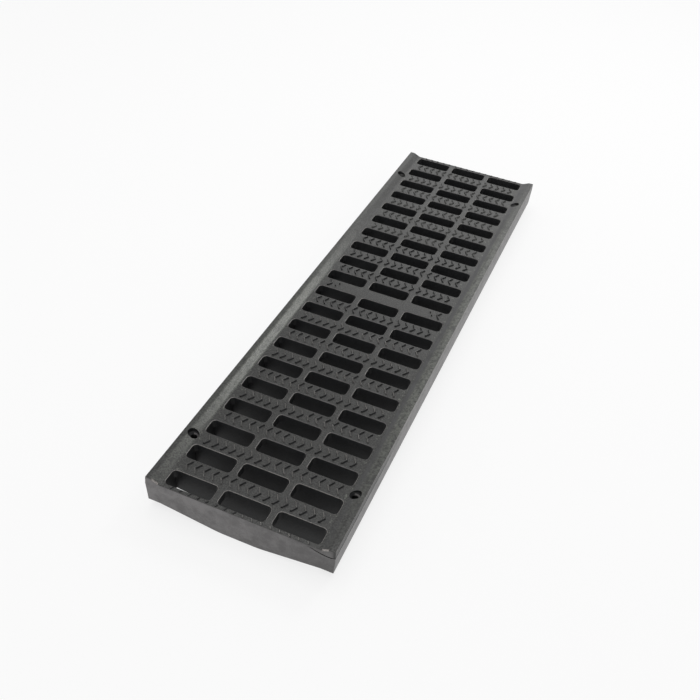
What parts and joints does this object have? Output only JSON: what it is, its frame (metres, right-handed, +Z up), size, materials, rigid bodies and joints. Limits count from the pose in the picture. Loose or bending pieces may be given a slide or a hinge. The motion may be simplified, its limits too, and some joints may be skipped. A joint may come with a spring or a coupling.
{
  "type": "channel drain grate",
  "caption": "Long rectangular cast-iron grate for a trench drain, slotted across, with raised side rails, a ribbed belly, countersunk screw holes and a raised chevron tread.",
  "frame": {"origin": "centre of the casting in plan, on the lowest line of its belly", "axes": "+X across the channel, +Y along the channel, +Z up towards the slotted face"},
  "size_m": [0.1334, 0.502, 0.028],
  "materials": {
    "casting": "sand-cast iron with a thin dark grey dip coat, bare on a few ground edges"
  },
  "bodies": {
    "root": {"grate": "casting"}
  },
  "joints": []
}
